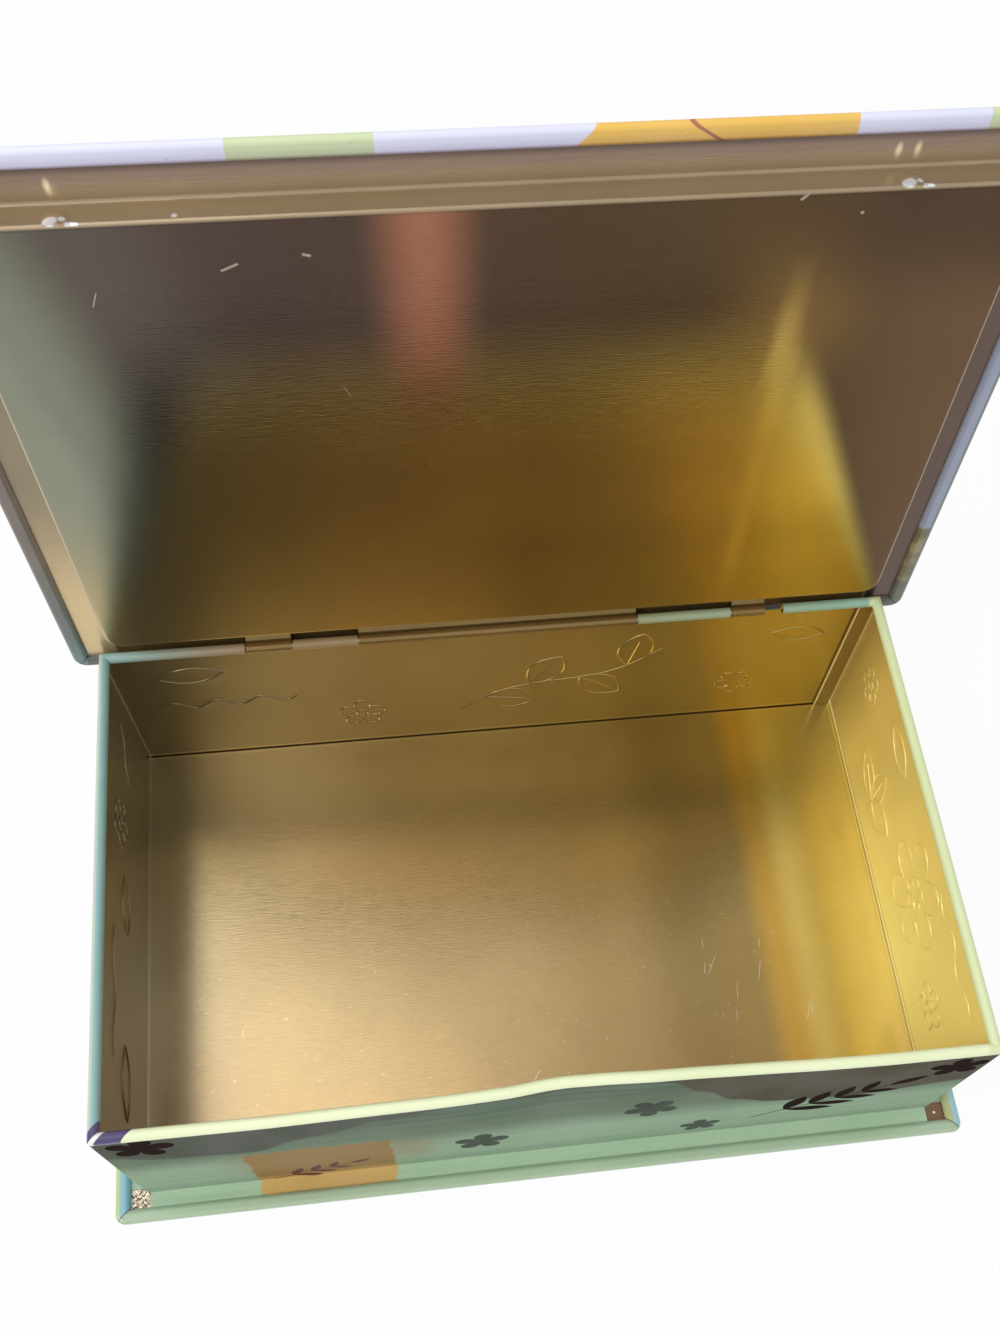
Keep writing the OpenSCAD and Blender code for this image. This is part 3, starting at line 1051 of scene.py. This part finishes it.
def sprig(mat, place, x, z, length, turn, leaves):
    """A stem with pairs of pointed leaves, as a mask."""
    way = np.array((math.cos(turn), math.sin(turn)))
    end = np.array((x, z)) + length * way
    masks = [mat.stroke(place, (x, z), tuple(end), 0.35)]
    for k in range(leaves):
        spot = np.array((x, z)) + way * length * (0.25 + 0.75 * k / leaves)
        size = length * 0.36 * (1 - 0.35 * k / leaves)
        for swing in (0.75, -0.75):
            masks.append(mat.leaf(place, *spot, size, turn + swing, 0.17))
    masks.append(mat.leaf(place, *end, length * 0.28, turn, 0.18))
    return mat.either(*masks)


def above(mat, up, stops, low, high):
    """Where a height passes the curve through places along X, as a mask."""
    top = 60
    grey = [(x, (*[level / top] * 3, 1)) for x, level in stops]
    edge = mat.times(mat.ramp(mat.x, grey), top)
    return mat.fade(mat.less(up, edge), low, high)


def ochre_patch(mat, place, up, colour):
    """A ragged ochre field with a wine-red sprig."""
    ragged = mat.times(mat.noise(0.25, 3), 9)
    across = mat.plus(mat.x, mat.times(ragged, 0.3))
    level = mat.plus(up, ragged)
    field = mat.both(mat.band(across, -67, -35, 0.3), mat.fade(level, 33, 32))
    haze = mat.both(mat.band(across, -70, -26, 5), mat.band(level, 14, 30, 4))
    # the ochre is lighter on the ledge as painted light
    tint = mat.mix(mat.fade(up, 6, 0), (148, 118, 64), (202, 166, 94))
    leaves = mat.both(sprig(mat, place, -65, 1, 20, 0.42, 3), field)
    return mat.layers(colour, (haze, (150, 124, 84), 0.5), (field, tint), (leaves, (104, 52, 36)))


def print_front(mat):
    """Front wall and ledge: sea green with flowers, lighter on the ledge as painted light, darker
    towards the rim with dark areas high on the wall as painted dark reflections.
    """
    beyond = mat.larger(mat.less(-HALF_D, mat.y), 0)
    up = mat.less(mat.z, beyond)
    place = mat.join(mat.x, up)
    # green is lighter on the ledge as painted light and darker towards the rim as painted dark
    # reflection
    green = mat.shades(
        up, (-6, 182, 208, 174), (0.5, 164, 192, 158), (2, 148, 176, 146),
        (18, 148, 174, 144), (32, 102, 120, 96), (50, 78, 94, 74),
    )
    streaks = mat.fade(mat.noise((0.02, 0.5, 0.5), 3), 0.5, 0.66)
    # left and right are the curves above which dark reflections are painted
    left = ((-95, 37), (-83, 32), (-66, 30), (-52, 38), (-36, 45), (-12, 52), (20, 60), (95, 60))
    right = ((-95, 60), (16, 56), (24, 48), (32, 39), (41, 30), (50, 26), (68, 24), (95, 29))
    colour = mat.layers(
        green,
        (streaks, (112, 144, 124), 0.25),
        # painted dark reflections high on the wall, left and right
        (above(mat, up, left, -0.5, 1.5), (78, 84, 72)),
        (above(mat, up, right, -0.3, 0.5), (78, 72, 54)),
    )
    colour = ochre_patch(mat, place, up, colour)
    flowers = ((-16, 17, 6.4, 0.4), (22, 29, 6.2, 1), (36, 9, 5, 0.2))
    motifs = mat.many(mat.flower, place, flowers)
    dark = mat.either(
        sprig(mat, place, 48, 11, 34, 0.62, 4),
        mat.flower(place, -86, 44, 7, 0.5),
        mat.flower(place, 88, 42, 6.5, 0.2),
    )
    colour = mat.layers(colour, (motifs, (46, 58, 46), 0.9))
    return finish_print(mat, colour, 0.5, 0, 0, dark)


def add_motifs(mat, place, colour, hearts, layout):
    """Flowers with light hearts and leaf sprigs; a sprig's row is one longer."""
    share, heart_tint = hearts
    for tint, *where in layout:
        if len(where) == 5:
            colour = mat.mix(sprig(mat, place, *where), colour, tint)
            continue
        x, z, size, _ = where
        heart = mat.flower(place, x, z, size * share, 0.5)
        colour = mat.layers(colour, (mat.flower(place, *where), tint), (heart, heart_tint))
    return colour


TEAL = (58, 92, 84)
OCHRE = (204, 166, 92)
PLUM = (110, 62, 78)
PALE = (214, 226, 190)
BACK_LAYOUT = (
    (OCHRE, -70, 30, 8, 0.2),
    (TEAL, -50, 10, 28, 0.6, 4),
    (PLUM, -6, 30, 9, 0.7),
    (TEAL, 14, 34, 26, -0.5, 4),
    (PALE, 58, 16, 7, 0.1),
    (OCHRE, 78, 34, 6, 0.5),
)
SIDE_LAYOUT = (
    (PLUM, -36, 28, 8, 0.4),
    (TEAL, -22, 12, 26, 0.5, 4),
    (OCHRE, 16, 32, 7, 0.9),
    (PALE, 40, 18, 8, 0.1),
)


def print_wall(mat, along, layout):
    """A side or back wall: sea green with flowers and leaf sprigs."""
    place = mat.join(along, mat.z)
    colour = mat.shades(mat.z, (0, 146, 176, 150), (20, 134, 168, 146), (50, 118, 154, 136))
    colour = add_motifs(mat, place, colour, (0.34, (240, 226, 160)), layout)
    return finish_print(mat, colour, 0.3, 0.25)


def print_back(mat):
    return print_wall(mat, mat.x, BACK_LAYOUT)


def print_sides(mat):
    return print_wall(mat, mat.y, SIDE_LAYOUT)


def print_rim(mat):
    """The rolled rim, in tints that change from side to side."""
    wave = mat.noise(0.03, 2)
    front = mat.mix(wave, (222, 236, 186), (244, 250, 206))
    left = mat.mix(mat.fade(mat.x, -94.3, -93.8), (180, 194, 176), (130, 176, 174))
    back = mat.shades(
        mat.x, (-95, 140, 176, 170), (-60, 154, 126, 78), (10, 156, 134, 88),
        (50, 160, 178, 140), (95, 146, 190, 170),
    )
    at_front = mat.fade(mat.y, -52, -53)
    turn = mat.less(mat.less(mat.x, mat.y), -37.6)
    colour = mat.layers(
        back,
        (mat.fade(mat.y, -50, -52), front),
        (mat.fade(mat.x, 91, 92.2), (218, 232, 176)),
        (mat.fade(mat.x, -91.6, -92.4), left),
        (mat.both(mat.band(turn, -2.3, 6.7, 0.1), at_front), (50, 28, 96)),
        (mat.both(mat.band(turn, 0, 1.3, 0.15), at_front), (236, 236, 232)),
    )
    return finish_print(mat, colour)


def mitres(mat, across, along, step):
    """Dark lines where the hems meet at the corners of a sheet."""
    beside = mat.less(mat.absolute(across), mat.absolute(along))
    return mat.fade(mat.absolute(mat.less(beside, step)), 0.22, 0.08)


def print_base(mat):
    """The base sheet's printed outside and its hems, with painted shade behind the front hem's outer
    edge and underneath.
    """
    left = mat.mix(mat.fade(mat.x, -101, -100.4), (178, 198, 134), (126, 182, 198))
    right = mat.mix(mat.fade(mat.x, 99.6, 100.6), (176, 180, 118), (152, 196, 206))
    front = mat.mix(mat.fade(mat.z, 1.5, 0.7), (164, 188, 154), (190, 202, 206))
    # painted shade on the front hem's inner side and on the sheet behind it
    front = mat.layers(front, (mat.fade(mat.y, -63.6, -62.6), (120, 150, 124), 0.4))
    along = mat.plus(mat.y, 1.8)
    beside = mat.less(mat.absolute(mat.x), mat.absolute(along))
    colour = mat.layers(
        front,
        (mat.fade(beside, 38.25, 38.35), mat.mix(mat.fade(mat.x, -1, 1), left, right)),
        (mitres(mat, mat.x, along, 38.3), (44, 52, 48)),
        # painted shade on the sheet's underside and lowest edge
        (mat.fade(mat.z, 0.12, 0.04), (150, 178, 158)),
    )
    return finish_print(mat, colour)


LAVENDER = (226, 228, 250)
LIGHT_GREEN = (206, 221, 172)
YELLOW = (240, 190, 66)


def front_hem(mat, depth):
    """Lavender with green and yellow fields, with painted shade at the inner edge."""
    field = mat.shades(
        mat.x, (-102, *LAVENDER), (-44.1, *LIGHT_GREEN), (-21.3, *LAVENDER),
        (79.2, *LIGHT_GREEN), (102, *LIGHT_GREEN),
        curve="CONSTANT",
    )
    leaning = mat.plus(mat.x, depth)
    yellow = mat.both(mat.fade(leaning, -50.7, -50.3), mat.fade(mat.x, 57.7, 57.4))
    line = mat.band(mat.scaled(depth, -1.65, mat.x), 136.8, 137.8, 0.2)
    colour = mat.layers(field, (yellow, YELLOW), (line, (176, 84, 40)))
    shade = mat.shades(
        depth,
        (-65.2, 255, 255, 255), (-63.8, 246, 246, 250), (-62.6, 226, 222, 230), (-61.6, 164, 150, 162),
    )
    return mat.mix(1, colour, shade, "MULTIPLY")


def print_lid_hem(mat):
    """The lid's hems, each side in its own tints."""
    depth, height = mat.shut()
    out = mat.absolute(mat.x)
    blotch = mat.fade(mat.noise(0.2, 3), 0.4, 0.6)
    low = mat.mix(blotch, (104, 94, 58), (150, 138, 90))
    low = mat.mix(mat.fade(depth, 50, 54), low, (96, 94, 78))
    right = mat.mix(mat.fade(depth, 33.2, 34), (148, 158, 184), low)
    right = mat.mix(mat.fade(mat.x, 100.3, 100.7), right, (94, 112, 106))
    left = mat.shades(
        depth, (-65, 134, 96, 90), (-30, 112, 86, 80), (20, 108, 98, 88),
        (48, 90, 100, 94), (62, 100, 128, 126),
    )
    front = front_hem(mat, depth)
    sides = mat.fade(depth, -61.5, -61.2)
    colour = mat.layers(
        front,
        (mat.both(mat.fade(mat.x, 97.6, 98), sides), right),
        (mat.both(mat.fade(mat.x, -97.6, -98), sides), left),
        (mat.both(mat.fade(depth, 58.6, 59), mat.fade(out, 98.6, 98.2)), (86, 86, 80)),
        (mitres(mat, mat.x, mat.plus(depth, 1.6), 38.1), (50, 52, 54)),
        (mat.fade(height, 52.6, 52.9), mat.mix(mat.fade(depth, -62, -61), front, (204, 206, 230))),
    )
    return finish_print(mat, colour)


def print_lid_face(mat):
    """The lid's top: lavender with flowers and leaf sprigs."""
    layout = (
        ((150, 176, 120), -78, 66, 60, 0.9, 5),
        ((222, 180, 88), -50, 132, 15, 0.3),
        ((232, 214, 236), -6, 78, 11, 0.5),
        ((150, 176, 120), 72, 62, 58, 2.1, 5),
        ((206, 120, 96), 26, 136, 12, 0.8),
        ((222, 180, 88), 74, 134, 14, 0.1),
        ((206, 120, 96), -84, 80, 8, 0.1),
    )
    colour = mat.shades(mat.z, (50, 196, 198, 226), (172, 208, 210, 234))
    hearts = (0.3, (250, 240, 200))
    return finish_print(mat, add_motifs(mat, mat.join(mat.x, mat.z), colour, hearts, layout))


def steel_wire(mat):
    colour = mat.mix(brushed(mat, 0.2), (96, 90, 84), (190, 184, 176))
    mat.put(Base_Color=colour, Metallic=1, Roughness=0.35)
    return mat.material


CAM_LOCATION = (-0.0223172, -0.1162579, 0.3065441)
CAM_RIGHT = (0.9922586, -0.1167160, 0.0424298)
CAM_UP = (0.0897755, 0.9102041, 0.4043128)
CAM_BACK = (-0.0858096, -0.3973737, 0.9136361)


def make_camera():
    data = bpy.data.cameras.new("camera")
    camera = add_object("camera", data)
    data.sensor_width = 36
    data.lens = 34.0828
    data.shift_x, data.shift_y = -0.02823, 0.14666
    data.clip_start = 0.01
    turn = Matrix((CAM_RIGHT, CAM_UP, CAM_BACK)).transposed().to_4x4()
    camera.matrix_world = Matrix.Translation(Vector(CAM_LOCATION)) @ turn
    bpy.context.scene.camera = camera


def make_floor():
    """A plain pale floor that keeps the object's shadow."""
    mesh = bpy.data.meshes.new("floor")
    corners = [(x * FLOOR_REACH, y * FLOOR_REACH, 0) for x, y in ((-1, -1), (1, -1), (1, 1), (-1, 1))]
    mesh.from_pydata(corners, [], [(0, 1, 2, 3)])
    floor = add_object("floor", mesh)
    floor.location.z = -0.0001
    mat = Paint("floor_white")
    mat.put(Base_Color=(0.8, 0.8, 0.8, 1), Roughness=0.9)
    rays = mat.node("LightPath").outputs
    seen = mat.either(*(rays[f"Is {kind} Ray"] for kind in ("Camera", "Glossy", "Transmission")))
    glow = mat.node("Emission").outputs[0]
    blend = mat.node("MixShader", mat.times(seen, 0.94), mat.shader.outputs[0], glow)
    mat.feed(mat.tree.nodes["Material Output"].inputs[0], blend.outputs[0])
    mesh.materials.append(mat.material)


def make_light(name, place, aim, size, power):
    data = bpy.data.lights.new(name, "AREA")
    data.size = size
    data.energy = power
    light = add_object(name, data)
    light.location = place
    way = Vector(aim) - Vector(place)
    light.rotation_euler = way.to_track_quat("-Z", "Y").to_euler()


def make_world():
    """White light from all sides, brighter where it is seen."""
    world = bpy.data.worlds.new("world")
    bpy.context.scene.world = world
    nodes = Nodes(world)
    sky = nodes.tree.nodes["Background"]
    nodes.feed(sky.inputs[0], (1, 1, 1, 1))
    seen = nodes.node("LightPath").outputs["Is Camera Ray"]
    nodes.feed(sky.inputs[1], nodes.scaled(seen, 0.3, 0.7))


def show_solid(node, material, slot):
    """Gives a plain solid that stays in view its material."""
    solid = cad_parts[node]
    solid.data.materials.clear()
    solid.data.materials.append(material)


def painted(*rules):
    """The materials that rules make, each with its rule's name."""
    return [rule(Paint(rule.__name__)) for rule in rules]


def dress():
    """Replaces the plain solids by the detailed pieces."""
    body = painted(print_front, tin_back, print_rim, print_back, print_sides)
    body += painted(tin_right, tin_left, tin_seam)
    base = painted(print_base, tin_floor, tin_crumpled, tin_brown)
    lid = painted(print_lid_hem, tin_lid, print_lid_face)
    pieces = (
        (make_front(body), "box", "body_shell", "printed_body"),
        (make_walls(body), "box", "body_shell", "printed_body"),
        (make_base(base), "box", "base_cover", "printed_base"),
        (make_lid(lid), "lid", "lid_cover", "printed_lid"),
    )
    for piece, carrier, node, slot in pieces:
        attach(piece, carrier)
        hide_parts(node)
    front = pieces[0][0]
    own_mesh(front)
    show_solid("lid_plug", lid[TIN], "bare_tin")
    show_solid("hinge_wire", *painted(steel_wire), "hinge_steel")


dress()
make_camera()
make_floor()
make_world()
make_light("key", (-0.75, -0.3, 0.9), (0.03, 0, 0.03), 0.6, 6.3)
make_light("soft", (-0.25, 0.12, 1.1), (-0.05, -0.04, 0), 0.5, 0.8)
bpy.context.scene.view_settings.view_transform = "Standard"
